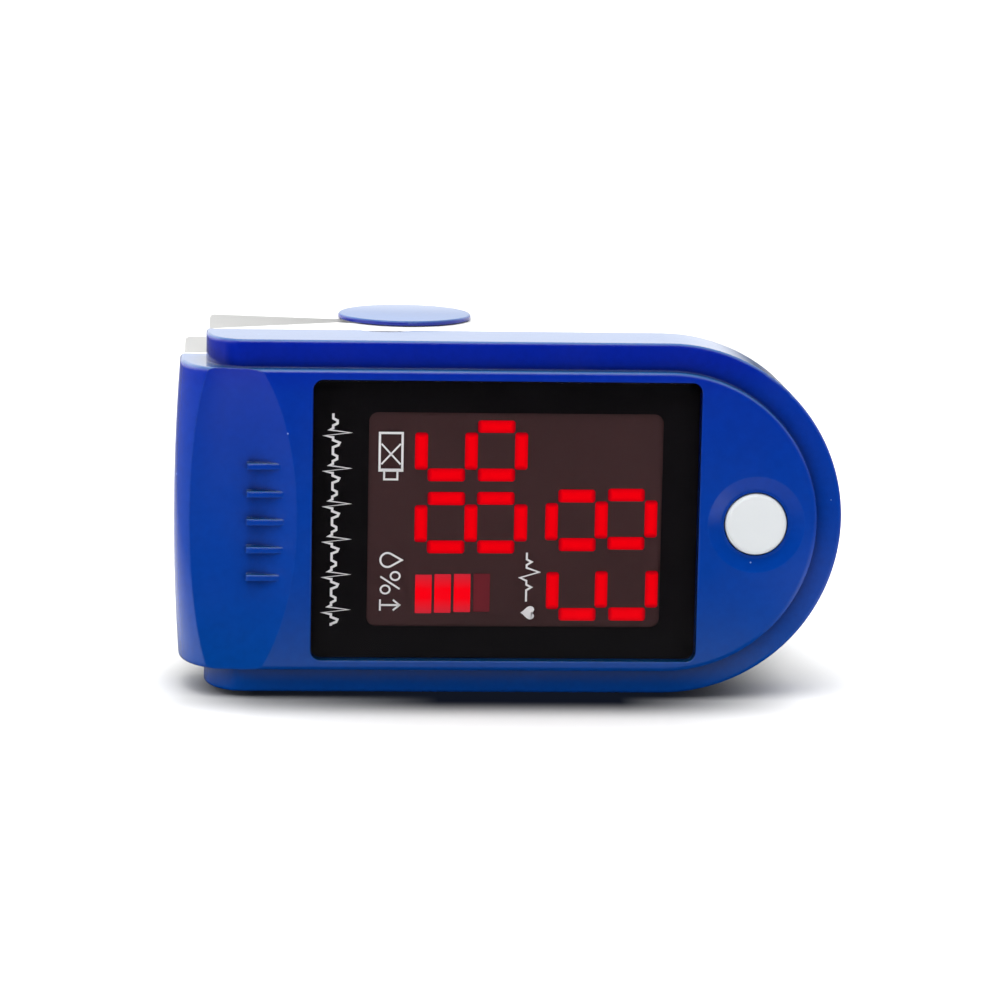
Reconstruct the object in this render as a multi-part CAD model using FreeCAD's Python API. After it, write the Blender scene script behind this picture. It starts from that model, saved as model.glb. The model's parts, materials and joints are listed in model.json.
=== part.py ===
import FreeCAD, Part
import math
import os

os.makedirs("parts", exist_ok=True)
V = FreeCAD.Vector

# ---------------------------------------------------------------- driving dimensions (mm)
# X runs along the finger from the push end (-X) to the finger opening (+X),
# Y runs through the thickness from the display (-Y) to the battery door (+Y),
# Z runs across the width and is the height when the oximeter stands on its long side.
LENGTH = 58.35           # push end to finger end
WIDTH = 31.0             # across the finger
THICK = 30.0             # display face to battery door face
X0 = -LENGTH / 2.0       # tip of the push end
XC = LENGTH / 2.0 - WIDTH / 2.0   # centre of the round finger end
ZM = WIDTH / 2.0         # middle of the width
Y_DECK = -THICK / 2.0    # raised display deck
Y_BACK = THICK / 2.0     # back of the battery door

DECK_H = 0.95            # step from flange to deck
FL_NOSE = (3.4, 4.8)     # rounding of the full-width body at the push end (X, Y)
DK_NOSE = (4.6, 6.3)     # rounding of the push tab (X, Y)
Y_FLANGE = Y_DECK + DECK_H
Y_FLANGE_BACK = -7.2     # back edge of the blue cover
X_FLANGE = -26.42        # push end of the full-width body
DECK_INSET = 2.26        # deck edge inside the flange edge
DECK_DZ = -0.16          # deck and push tab sit this much off the middle
BOW = 0.5                # crown of the push end in plan
Y_OVERHANG = -5.65       # back of the blue push tab
Y_LIP = -4.72            # back of the white lip under it
SIDE_INSET = 0.06        # white sides sit this much inside the blue flange
CAP_OUT = 0.44           # the hinge caps stand out of the sides by this much
X_BODY = -26.1           # push end of the white bodies
WALL = 1.3
Y_PART_U = -0.8          # parting face of the display half
Y_PART_L = -0.5          # parting face of the battery half
Y_HINGE_CUT = -2.05      # display half is cut back to here over the hinge hub

PIV_X, PIV_Y = -8.65, 2.85   # jaw hinge axis
HUB_R = 4.6
PIN_R = 0.8
PIN_GAP = 0.05
CAP_R, CAP_Y = 5.97, 1.6     # round hinge cap over the pin and the hinge cut

# wedge between the two push ends, side view
WEDGE_U = [(X_BODY, -6.61), (-14.75, -1.80)]
WEDGE_L = [(X_BODY, 3.06), (-14.75, 0.53)]

# finger channel, an oval tube along X
CH_Y, CH_B, CH_C = -2.3, 4.9, 7.5    # centre in Y, half height in Y, half width in Z
PAD_T = 0.9
TRAY_T = 0.7
CRADLE_T = 0.6
X_STOP = -5.5            # finger stop

# display
WIN_X = (-17.21, 16.53)
WIN_Z = (2.99, 27.71)
WIN_R = 0.9
WIN_T = 1.2
LIT_X = (-12.31, 13.33)
LIT_Z = (5.85, 24.74)

# power button
BTN_X, BTN_Z, BTN_R = 21.55, 15.26, 2.7
BTN_GAP = 0.1
BTN_TRAVEL = 0.3
DISH_R = 4.2

# batteries (AAA)
BAT_R, BAT_L = 5.25, 44.5
BAT_Y = 8.45
BAT_OFF = 6.2
BAT_X0 = -24.2

Y_DOOR = 11.2            # edge of the battery door on the sides
X_DOOR = -14.0           # push-end edge of the battery door
BACK_R = 4.5             # rounding of the back edges


# ---------------------------------------------------------------- helpers
def box(x0, x1, y0, y1, z0, z1):
    return Part.makeBox(x1 - x0, y1 - y0, z1 - z0, V(x0, y0, z0))


def cyl_y(x, z, r, y0, y1):
    return Part.makeCylinder(r, y1 - y0, V(x, y0, z), V(0, 1, 0))


def cyl_z(x, y, r, z0, z1):
    return Part.makeCylinder(r, z1 - z0, V(x, y, z0), V(0, 0, 1))


def cyl_x(y, z, r, x0, x1):
    return Part.makeCylinder(r, x1 - x0, V(x0, y, z), V(1, 0, 0))


def arc(a, m, b):
    return Part.Arc(a, m, b).toShape()


def outline(xl, ins, y, r, bow=0.0):
    """Plan outline: square push end with corner radius r, half-round finger end."""
    zb, zt, rr = ins, WIDTH - ins, WIDTH / 2.0 - ins
    k = r * (1.0 - math.sqrt(0.5))
    e = [Part.makeLine(V(xl + bow + r, y, zb), V(XC, y, zb)),
         arc(V(XC, y, zb), V(XC + rr, y, ZM), V(XC, y, zt)),
         Part.makeLine(V(XC, y, zt), V(xl + bow + r, y, zt))]
    if r > 0:
        e.append(arc(V(xl + bow + r, y, zt), V(xl + bow + k, y, zt - k), V(xl + bow, y, zt - r)))
    if bow > 0:
        e.append(arc(V(xl + bow, y, zt - r), V(xl, y, ZM), V(xl + bow, y, zb + r)))
    else:
        e.append(Part.makeLine(V(xl, y, zt - r), V(xl, y, zb + r)))
    if r > 0:
        e.append(arc(V(xl + bow, y, zb + r), V(xl + bow + k, y, zb + k), V(xl + bow + r, y, zb)))
    return Part.Face(Part.Wire(Part.__sortEdges__(e)))


def slab(xl, ins, y0, y1, r, bow=0.0):
    return outline(xl, ins, y0, r, bow).extrude(V(0, y1 - y0, 0))


def tab_slab(*a, **k):
    """Slab on the deck's own centre line."""
    s = slab(*a, **k)
    s.translate(V(0, 0, DECK_DZ))
    return s


def rrect_xz(x0, x1, z0, z1, r, y0, y1):
    """Rounded rectangle in X-Z, extruded in Y."""
    s = box(x0, x1, y0, y1, z0, z1)
    if r > 0:
        ed = [e for e in s.Edges if abs(e.tangentAt(e.FirstParameter).y) > 0.99]
        s = s.makeFillet(r, ed)
    return s


def nose(xl, y0, a, b, bow=0.0):
    """Everything behind an elliptically rounded push-end edge; bow crowns it across the width."""
    cx, cy = xl + a, y0 + b
    el = Part.Ellipse(V(cx, cy - b, ZM), V(cx - a, cy, ZM), V(cx, cy, ZM))
    w = [Part.ArcOfEllipse(el, 0.0, math.pi / 2.0).toShape(),
         Part.makeLine(V(xl, cy, ZM), V(xl, 22, ZM)), Part.makeLine(V(xl, 22, ZM), V(60, 22, ZM)),
         Part.makeLine(V(60, 22, ZM), V(60, y0, ZM)), Part.makeLine(V(60, y0, ZM), V(cx, y0, ZM))]
    f = Part.Face(Part.Wire(Part.__sortEdges__(w)))
    if not bow:
        f.translate(V(0, 0, -ZM - 1.0))
        return f.extrude(V(0, 0, WIDTH + 2.0))
    half = ZM - DECK_INSET
    rb = (half * half + bow * bow) / (2.0 * bow)
    f.rotate(V(xl + rb, 0, ZM), V(0, 1, 0), -8.0)
    return f.revolve(V(xl + rb, 0, ZM), V(0, 1, 0), 16.0)


def round_over(s, xl, y0, zs, r, y_back):
    """Round the front outline and the two end corners of a slab cut with nose()."""
    ed = []
    for e in s.Edges:
        bb = e.BoundBox
        if abs(bb.YMin - y0) < 1e-4 and abs(bb.YMax - y0) < 1e-4:
            if bb.XMax > xl + 8.0:
                ed.append(e)
        elif any(abs(bb.ZMin - z) < 1e-4 and abs(bb.ZMax - z) < 1e-4 for z in zs) and bb.XMax < xl + 8.0 and bb.YMin < y_back - 0.5:
            ed.append(e)
    return s.makeFillet(r, ed)


def prism_z(pts, z0, z1):
    p = [V(x, y, z0) for x, y in pts]
    return Part.Face(Part.makePolygon(p + [p[0]])).extrude(V(0, 0, z1 - z0))


def prism_y(pts, y0, y1):
    p = [V(x, y0, z) for x, z in pts]
    return Part.Face(Part.makePolygon(p + [p[0]])).extrude(V(0, y1 - y0, 0))


def oval_x(b, c, x0, x1, y=CH_Y, z=ZM):
    """Oval bar along X, half height b in Y and half width c in Z."""
    if c >= b:
        el = Part.Ellipse(V(x0, y, z + c), V(x0, y + b, z), V(x0, y, z))
    else:
        el = Part.Ellipse(V(x0, y + b, z), V(x0, y, z + c), V(x0, y, z))
    f = Part.Face(Part.Wire([el.toShape()]))
    return f.extrude(V(x1 - x0, 0, 0))


def edges_at_y(s, y, tol=1e-4):
    out = []
    for e in s.Edges:
        bb = e.BoundBox
        if abs(bb.YMin - y) < tol and abs(bb.YMax - y) < tol:
            out.append(e)
    return out


def fuse(first, *rest):
    s = first
    for r in rest:
        s = s.fuse(r)
    return s.removeSplitter()


def mirror_z(s):
    return s.mirror(V(0, 0, ZM), V(0, 0, 1))


def save(name, shape):
    solids = shape.Solids
    s = solids[0] if len(solids) == 1 else Part.makeCompound(solids)
    s = s.copy()
    s.translate(V(0, 0, CAP_OUT))
    bad = [i for i, q in enumerate(solids) if not q.isValid() or q.Volume <= 0]
    print("%-22s solids %2d  vol %9.2f  %s" % (name, len(solids), sum(q.Volume for q in solids), "INVALID %s" % bad if bad else "ok"))
    s.exportStep("parts/%s.step" % name)


# ---------------------------------------------------------------- blue display cover
flange = slab(X_FLANGE, 0.0, Y_FLANGE, Y_FLANGE_BACK, 0.0).common(nose(X_FLANGE, Y_FLANGE, FL_NOSE[0], FL_NOSE[1]))
flange = round_over(flange, X_FLANGE, Y_FLANGE, (0.0, WIDTH), 0.32, Y_FLANGE_BACK)
deck = tab_slab(X0, DECK_INSET, Y_DECK, Y_OVERHANG, 0.0).common(nose(X0, Y_DECK, DK_NOSE[0], DK_NOSE[1], BOW))
deck = round_over(deck, X0, Y_DECK, (DECK_INSET + DECK_DZ, WIDTH - DECK_INSET + DECK_DZ), 0.4, Y_OVERHANG)
deck = deck.cut(box(-23.0, 40, Y_FLANGE_BACK - 0.2, 0, -1, WIDTH + 1))
cover = fuse(flange, deck)
# electronics cavity and the hollow under the push tab
cavity = slab(X_FLANGE + WALL, WALL, -12.9, 0, 0.5).common(nose(X_FLANGE + WALL, -12.9, FL_NOSE[0] - 1.0, FL_NOSE[1] - 1.1))
cover = cover.cut(cavity)
tab_room = tab_slab(X0 + BOW + 1.25, DECK_INSET + 1.2, -12.7, 0, 1.0).common(nose(X0 + BOW + 1.25, -12.7, 3.0, 4.3))
cover = cover.cut(tab_room.common(box(-30, -22, -20, 0, 0, WIDTH)))
# window pocket, ledge opening
cover = cover.cut(rrect_xz(WIN_X[0], WIN_X[1], WIN_Z[0], WIN_Z[1], WIN_R, Y_DECK - 1, -13.66))
cover = cover.cut(rrect_xz(-13.1, 13.9, 5.1, 25.9, 0.5, -14, -12))
# thumb dish: a shallow lens-shaped hollow, cut by a slightly bent drum
dish = Part.makeSphere(1.0)
m = FreeCAD.Matrix()
m.scale(V(9.5, 3.0, 18.3))
dish = dish.transformGeometry(m)
dish.rotate(V(0, 0, 0), V(0, 0, 1), -11.3)
dish.translate(V(-23.49, -16.69, ZM - 0.2))
cover = cover.cut(dish)
# moulded grip bars in the dish
bars = []
for i in range(5):
    zc = 15.1 + (i - 2) * 2.45
    bars.append(box(-22.85, -19.55, -14.62, -13.5, zc - 0.28, zc + 0.28))
bars = [b.makeFillet(0.12, edges_at_y(b, -14.62)) for b in bars]
cover = fuse(cover, *bars)
# button hole with its dished ring and raised lip
ring = Part.makeSphere(12.0, V(BTN_X, Y_DECK - 11.22, BTN_Z)).common(cyl_y(BTN_X, BTN_Z, 6, -17, -13))
cover = cover.cut(ring)
lip = cyl_y(BTN_X, BTN_Z, BTN_R + BTN_GAP + 0.35, -14.62, -13.0)
cover = fuse(cover, lip)
cover = cover.cut(cyl_y(BTN_X, BTN_Z, BTN_R + BTN_GAP, -16, -11))
# screw bosses
COVER_SCREWS = [(-17.5, 4.6), (-17.5, WIDTH - 4.6), (15.5, 3.7), (15.5, WIDTH - 3.7)]
for sx, sz in COVER_SCREWS:
    b = cyl_y(sx, sz, 1.75, -12.95, -8.6)
    cover = cover.fuse(b)
cover = cover.removeSplitter()
for sx, sz in COVER_SCREWS:
    cover = cover.cut(cyl_y(sx, sz, 0.8, -12.6, -8))
# scalloped pry slot in the back edge of the cover, beside the hinge cap
cover = cover.cut(cyl_z(-10.6, Y_FLANGE_BACK + 1.85, 2.95, WIDTH - 0.55, WIDTH + 1))
save("top_cover", cover)

# ---------------------------------------------------------------- display window and print
window = rrect_xz(WIN_X[0] + 0.04, WIN_X[1] - 0.04, WIN_Z[0] + 0.04, WIN_Z[1] - 0.04, WIN_R - 0.04, Y_DECK + 0.03, Y_DECK + 0.03 + WIN_T)
window = window.makeFillet(0.12, edges_at_y(window, Y_DECK + 0.03))
save("display_window", window)
yb = Y_DECK + 0.03 + WIN_T
border = rrect_xz(WIN_X[0] + 0.06, WIN_X[1] - 0.06, WIN_Z[0] + 0.06, WIN_Z[1] - 0.06, WIN_R - 0.06, yb, yb + 0.1)
border = border.cut(rrect_xz(LIT_X[0], LIT_X[1], LIT_Z[0], LIT_Z[1], 0.8, yb - 1, yb + 1))
save("window_border", border)

# LED display module behind the window
Y_LED = -13.6
module = box(-12.9, 13.7, Y_LED, -11.2, 5.3, 25.7)
save("display_module", module)


# seven-segment figures: their upright direction is +X and they read downwards in Z.
# Each row is one segment, (x0, x1, z0, z1).
def plate(x0, x1, z0, z1, c):
    pts = [(x0 + c, z0), (x1 - c, z0), (x1, z0 + c), (x1, z1 - c), (x1 - c, z1), (x0 + c, z1), (x0, z1 - c), (x0, z0 + c)]
    return prism_y(pts, Y_LED - 0.05, Y_LED)


SEGMENTS = [
    # 9
    (-8.32, -7.14, 19.65, 22.99), (-7.20, -3.87, 18.65, 19.84), (-3.97, -2.80, 19.68, 23.02),
    (-2.82, 0.49, 18.68, 19.87), (-2.88, 0.45, 22.95, 24.10), (0.38, 1.56, 19.71, 23.06),
    # 8
    (-8.26, -7.10, 13.26, 16.60), (-7.16, -3.82, 12.28, 13.48), (-7.16, -3.83, 16.55, 17.77), (-3.92, -2.74, 13.31, 16.68),
    (-2.77, 0.55, 12.31, 13.51), (-2.85, 0.49, 16.61, 17.80), (0.42, 1.63, 13.37, 16.73),
    # 8
    (3.15, 4.31, 13.49, 16.86), (4.24, 7.55, 16.86, 18.07), (4.36, 7.67, 12.55, 13.77), (7.49, 8.67, 13.68, 17.03),
    (8.63, 11.95, 12.71, 13.89), (8.59, 11.88, 17.00, 18.17), (11.85, 13.01, 13.80, 17.15),
    # 3
    (3.35, 4.51, 7.37, 10.74), (4.47, 7.81, 6.36, 7.54), (7.63, 8.79, 7.51, 10.85), (8.85, 12.17, 6.38, 7.61), (12.05, 13.22, 7.55, 10.90)]


def shrunk(q, others, gap=0.03):
    """Trim a segment where its corner would run into a neighbour."""
    x0, x1, z0, z1 = q
    for o in others:
        dx, dz = min(x1, o[1]) - max(x0, o[0]), min(z1, o[3]) - max(z0, o[2])
        if dx > -gap and dz > -gap:
            if dx < dz:
                k = (dx + gap) / 2.0
                x0, x1 = (x0 + k, x1) if o[0] < x0 else (x0, x1 - k)
            else:
                k = (dz + gap) / 2.0
                z0, z1 = (z0 + k, z1) if o[2] < z0 else (z0, z1 - k)
    return x0, x1, z0, z1


trimmed = [shrunk(q, [o for o in SEGMENTS if o is not q]) for q in SEGMENTS]
save("lit_digits", Part.makeCompound([plate(*q, c=0.18) for q in trimmed]))

BARS = [(-8.09, -6.65, 6.98, 10.40), (-6.41, -4.97, 7.03, 10.46), (-4.71, -3.26, 7.10, 10.49)]
save("pulse_bars", Part.makeCompound([plate(*q, c=0.06) for q in BARS]))
save("pulse_bar_dim", plate(-3.00, -1.55, 7.14, 10.52, 0.06))

# ---------------------------------------------------------------- electronics in the display half
Y_PCB = -11.2
pcb = slab(-24.6, 2.0, Y_PCB, Y_PCB + 1.0, 1.0)
for sx, sz in COVER_SCREWS:
    pcb = pcb.cut(cyl_y(sx, sz, 1.95, -12, -9))
save("main_board", pcb)
sw = rrect_xz(BTN_X - 2.1, BTN_X + 2.1, BTN_Z - 2.1, BTN_Z + 2.1, 0.2, -11.75, Y_PCB)
sw = sw.cut(cyl_y(BTN_X, BTN_Z, 1.0, -12, -11.3))
save("tact_switch", sw)
save("switch_plunger", cyl_y(BTN_X, BTN_Z, 0.9, -12.35, -11.7))
btn = cyl_y(BTN_X, BTN_Z, BTN_R, Y_DECK, -12.7)
btn = btn.makeFillet(0.4, edges_at_y(btn, Y_DECK))
btn = fuse(btn, cyl_y(BTN_X, BTN_Z, 3.5, -12.75, -12.35))
save("power_button", btn)

yc = Y_PCB + 1.0
mcu = rrect_xz(-3.5, 3.5, 12.0, 19.0, 0.2, yc, yc + 1.0)
save("microcontroller", mcu)
save("signal_chip", rrect_xz(-20.5, -15.5, 13.5, 17.5, 0.15, yc, yc + 1.0))
save("clock_crystal", rrect_xz(17.5, 20.7, 13.9, 16.9, 0.3, yc, yc + 0.7))
conn = box(-10.6, -8.0, yc, yc + 1.1, 13.0, 18.0)
conn = conn.cut(box(-9.2, -8.85, yc + 0.25, yc + 2, 13.9, 17.1))
save("ribbon_socket", conn)
chips = []
for px, pz in [(-14.0, 20.0), (-12.6, 20.0), (-11.2, 20.0), (-14.0, 10.6), (-12.6, 10.6), (5.2, 18.0), (5.2, 16.4), (5.2, 13.0), (5.2, 11.4), (-5.6, 13.2), (-5.6, 17.6), (22.6, 12.2), (22.6, 18.6)]:
    chips.append(box(px - 0.5, px + 0.5, yc, yc + 0.45, pz - 0.28, pz + 0.28))
save("board_passives", Part.makeCompound(chips))

# ---------------------------------------------------------------- white inner shell of the display half
up = slab(X_BODY, SIDE_INSET, Y_FLANGE_BACK, Y_PART_U, 0.4)
# spigot that locates inside the blue cover
up = up.fuse(slab(X_FLANGE + WALL + 0.1, WALL + 0.08, -8.6, Y_FLANGE_BACK, 1.15))
# wedge and hinge clearance, side view
cut_u = prism_z([(-40, WEDGE_U[0][1] - 0.424 * (X_BODY + 40)), WEDGE_U[1], (-14.0, Y_HINGE_CUT), (-4.2, Y_HINGE_CUT), (-4.2, Y_PART_U), (-4.2, 5), (-40, 5)], -1, WIDTH + 1)
up = up.cut(cut_u)
# hollow it from the cover side, leaving a floor
hol = slab(X_BODY + WALL, SIDE_INSET + WALL, -9, Y_PART_U - 1.2, 0.9)
floor_line = prism_z([(-40, WEDGE_U[0][1] - 1.3 - 0.424 * (X_BODY + 40)), (-14.75, -3.1), (-14.0, -3.25), (-4.2, -3.25), (-4.2, 5), (-40, 5)], -1, WIDTH + 1)
hol = hol.cut(floor_line)
trough_out = oval_x(CH_B + PAD_T + TRAY_T, CH_C + PAD_T + 1.0, X_STOP - 1.5, 40)
hol = hol.cut(trough_out)
up = up.cut(hol)
# roof of the finger channel above the skirt
roof = trough_out.common(slab(X_BODY, WALL + 0.15, -8.85, -7.0, 0.9))
up = up.fuse(roof)
# room for the side walls of the blue push tab
up = up.cut(tab_slab(X0 - 1.0, DECK_INSET - 0.06, -9, Y_OVERHANG + 0.02, 1.0).common(box(-40, -22.9, -10, 0, 0, WIDTH)))
# white lip under the blue push tab
lip = tab_slab(X0 + 0.15, DECK_INSET + 0.05, Y_OVERHANG, Y_LIP, 0.4, BOW).common(box(-40, -21.2, -10, 0, 0, WIDTH))
rim = tab_slab(X0 + BOW + 1.3, DECK_INSET + 1.25, -6.9, Y_OVERHANG + 0.1, 0.9).common(box(-40, -24.9, -10, 0, 0, WIDTH))
rim = rim.cut(tab_slab(X0 + BOW + 2.3, DECK_INSET + 2.2, -8, Y_OVERHANG, 0.6).common(box(-40, -24, -10, 0, 0, WIDTH)))
up = up.fuse(lip).fuse(rim)
# channel void
up = up.cut(oval_x(CH_B + PAD_T, CH_C + PAD_T, X_STOP, 40))
# hinge ears
for z0, z1 in [(2.15, 3.35), (WIDTH - 3.35, WIDTH - 2.15)]:
    ear = cyl_z(PIV_X, PIV_Y, 2.6, z0, z1).fuse(box(PIV_X - 2.6, PIV_X + 2.6, -3.0, PIV_Y, z0, z1))
    up = up.fuse(ear)
up = up.removeSplitter()
for z0, z1 in [(1.5, 4.0), (WIDTH - 4.0, WIDTH - 1.5)]:
    up = up.cut(cyl_z(PIV_X, PIV_Y, PIN_R + PIN_GAP, z0, z1))
# screw seats: boss with a counterbored hole
for sx, sz in COVER_SCREWS:
    ytop = -8.55
    ybot = Y_PART_U if sx > 0 else -3.0
    room = slab(X_BODY, SIDE_INSET, Y_FLANGE_BACK, Y_PART_U, 0.4).fuse(slab(X_FLANGE + WALL + 0.1, WALL + 0.08, -9, Y_FLANGE_BACK, 1.15))
    boss = cyl_y(sx, sz, 2.3, ytop, ybot).common(room).cut(cut_u).cut(oval_x(CH_B + PAD_T, CH_C + PAD_T, X_STOP, 40))
    up = up.fuse(boss)
up = up.removeSplitter()
for sx, sz in COVER_SCREWS:
    up = up.cut(cyl_y(sx, sz, 1.0, -9, 2)).cut(cyl_y(sx, sz, 1.6, -7.0, 2))
# ribbon slot and emitter seat
up = up.cut(box(-9.9, -8.1, -9, 0, 13.4, 17.6))
EM_X = 9.0
up = up.cut(box(EM_X - 3.05, EM_X + 3.05, -9.5, -7.3, ZM - 2.55, ZM + 2.55))
save("upper_shell", up)

screws = []
for sx, sz in COVER_SCREWS:
    head = cyl_y(sx, sz, 1.45, -7.0, -6.2)
    head = head.makeFillet(0.25, edges_at_y(head, -6.2))
    s = head.fuse(cyl_y(sx, sz, 0.8, -12.2, -6.8)).removeSplitter()
    s = s.cut(box(sx - 0.85, sx + 0.85, -6.55, -6, sz - 0.17, sz + 0.17)).cut(box(sx - 0.17, sx + 0.17, -6.55, -6, sz - 0.85, sz + 0.85))
    screws.append(s)
save("cover_screws", Part.makeCompound(screws))

# ---------------------------------------------------------------- upper finger pad and emitter
pad_clip_u = slab(X_BODY, SIDE_INSET + 0.35, -9, Y_PART_U, 2.0)
pad = oval_x(CH_B + PAD_T, CH_C + PAD_T, X_STOP, 40).cut(oval_x(CH_B, CH_C, X_STOP + 0.9, 41)).common(pad_clip_u)
pad = pad.cut(box(-10, 40, -10, Y_FLANGE_BACK + 0.06, -1, WIDTH + 1).cut(slab(X_BODY, WALL + 0.1, -11, Y_FLANGE_BACK + 0.06, 1.0)))
pad = pad.cut(rrect_xz(EM_X - 2.5, EM_X + 2.5, ZM - 2.0, ZM + 2.0, 0.8, -9, -5))
save("upper_finger_pad", pad)
save("emitter_window", rrect_xz(EM_X - 2.45, EM_X + 2.45, ZM - 1.95, ZM + 1.95, 0.75, -7.75, -7.2))
leds = [box(EM_X - 1.5, EM_X - 0.4, -8.2, -7.8, ZM - 0.55, ZM + 0.55), box(EM_X + 0.4, EM_X + 1.5, -8.2, -7.8, ZM - 0.55, ZM + 0.55)]
save("emitter_leds", Part.makeCompound(leds))
save("emitter_board", box(EM_X - 3.0, EM_X + 3.0, -8.75, -8.2, ZM - 2.5, ZM + 2.5))

# ---------------------------------------------------------------- battery half: outer shell and door
def back_block(xl, ins, y0, y1, fr):
    s = slab(xl, ins, y0, y1, 0.0)
    ed = [e for e in edges_at_y(s, y1) if e.BoundBox.XMax > xl + 1.0]
    return s.makeFillet(fr, ed)


def back_profile(xl, y1, fr, z0=-1, z1=WIDTH + 1):
    e = [Part.makeLine(V(60, -20, z0), V(60, y1, z0)), Part.makeLine(V(60, y1, z0), V(xl + fr, y1, z0)),
         arc(V(xl + fr, y1, z0), V(xl + fr * (1 - math.sqrt(0.5)), y1 - fr * (1 - math.sqrt(0.5)), z0), V(xl, y1 - fr, z0)),
         Part.makeLine(V(xl, y1 - fr, z0), V(xl, -20, z0)), Part.makeLine(V(xl, -20, z0), V(60, -20, z0))]
    return Part.Face(Part.Wire(e)).extrude(V(0, 0, z1 - z0))


low_out = back_block(X_BODY, SIDE_INSET, -3.0, Y_BACK, BACK_R).common(back_profile(X_BODY, Y_BACK, 3.0)).common(slab(X_BODY, SIDE_INSET, -3.0, Y_BACK, 0.4))
low_in = back_block(X_BODY + WALL, SIDE_INSET + WALL, -4.0, Y_BACK - WALL, BACK_R - WALL)
tongue = tab_slab(X0 + 0.5, DECK_INSET, 5.35, 14.2, 0.4, 0.4).common(box(-40, -22, 0, 20, 0, WIDTH))
tongue = tongue.makeFillet(1.2, [e for e in edges_at_y(tongue, 14.2) if e.BoundBox.XMin < -22.5 and not (abs(e.BoundBox.XMin + 22) < 1e-3 and abs(e.BoundBox.XMax + 22) < 1e-3)])
tongue_in = tab_slab(-27.15, DECK_INSET + 1.2, 6.55, 13.0, 0.6).common(box(-40, -21, 0, 20, 0, WIDTH))

hub_t = cyl_z(PIV_X, PIV_Y, HUB_R, SIDE_INSET, SIDE_INSET + WALL)
hub_b = cyl_z(PIV_X, PIV_Y, HUB_R, WIDTH - SIDE_INSET - WALL, WIDTH - SIDE_INSET)
cut_l = prism_z([(-40, 3.06 + 0.2229 * 13.9), WEDGE_L[0], WEDGE_L[1], (-13.6, 0.40), (-4.6, 0.40), (-3.9, Y_PART_L), (60, Y_PART_L), (60, -20), (-40, -20)], -1, WIDTH + 1)
low = fuse(low_out, tongue)
low = low.cut(low_in).cut(tongue_in).cut(cut_l)
low = low.fuse(hub_t).fuse(hub_b).removeSplitter()
# back opening closed by the door
low = low.cut(box(X_DOOR - 0.15, 60, Y_DOOR - 0.15, 20, -1, WIDTH + 1))
# guide lips for the door, inside the side walls
for s in (0, 1):
    z0, z1 = (SIDE_INSET + WALL - 0.05, SIDE_INSET + WALL + 1.0)
    g = box(X_DOOR + 0.4, XC, 10.2, 12.4, 3.0, 3.7)
    g = g.fuse(box(X_DOOR + 0.4, XC, 10.2, 11.0, z0, 3.7)).fuse(box(X_DOOR + 0.4, XC, 11.95, 12.4, 2.5, 3.7)).removeSplitter()
    if s:
        g = mirror_z(g)
    low = low.fuse(g)
# battery end wall at the finger end
end_wall = box(20.75, 21.75, 4.3, 10.9, 0, WIDTH).common(back_block(X_BODY + 0.5, SIDE_INSET + 0.5, -4, 20, 0.5))
low = low.fuse(end_wall)
# screw bosses for the cradle
CRADLE_SCREWS = [(-17.5, 3.4), (-17.5, WIDTH - 3.4), (14.5, 3.4), (14.5, WIDTH - 3.4)]
for sx, sz in CRADLE_SCREWS:
    ytop = 1.85 if sx > 0 else 3.0
    b = cyl_y(sx, sz, 1.45, ytop, 5.5).common(slab(X_BODY, SIDE_INSET + 0.2, -9, 20, 2.0))
    b = b.fuse(box(sx - 1.45, sx + 1.45, ytop, 5.5, SIDE_INSET + 0.5 if sz < ZM else sz, sz if sz < ZM else WIDTH - SIDE_INSET - 0.5))
    low = low.fuse(b)
low = low.removeSplitter()
for sx, sz in CRADLE_SCREWS:
    low = low.cut(cyl_y(sx, sz, 0.7, 0, 5.0))
# finger mouth in the end wall and pin holes
low = low.cut(oval_x(CH_B + PAD_T, CH_C + PAD_T, 10, 40))
low = low.cut(cyl_z(PIV_X, PIV_Y, PIN_R, 0.5, 3)).cut(cyl_z(PIV_X, PIV_Y, PIN_R, WIDTH - 3, WIDTH - 0.5))
save("lower_shell", low)

door = low_out.cut(low_in).common(box(X_DOOR, 60, Y_DOOR, 20, -1, WIDTH + 1))
for s in (0, 1):
    r = box(X_DOOR + 0.6, XC - 0.5, 11.45, 11.85, SIDE_INSET + WALL - 0.2, 2.85)
    door = door.fuse(mirror_z(r) if s else r)
# hook tongue that tucks under the fixed back wall
door = door.fuse(box(X_DOOR - 1.6, X_DOOR + 1.5, 12.75, 13.6, ZM - 2.8, ZM + 2.8)).fuse(box(X_DOOR, X_DOOR + 1.5, 12.75, 14.2, ZM - 2.8, ZM + 2.8))
door = door.removeSplitter()
# thumb recess with grip ridges
rec = Part.makeSphere(22.0, V(19.0, Y_BACK + 21.3, ZM)).common(box(12, 28, 10, 16, 6, 25))
door = door.cut(rec)
rid = []
for i in range(4):
    xx = 16.6 + i * 1.7
    rid.append(box(xx - 0.3, xx + 0.3, 13.9, 14.88, ZM - 3.6 + 0.25 * i, ZM + 3.6 - 0.25 * i))
rid = [b.makeFillet(0.15, edges_at_y(b, 14.88)) for b in rid]
door = fuse(door, *rid)
save("battery_door", door)

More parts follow.
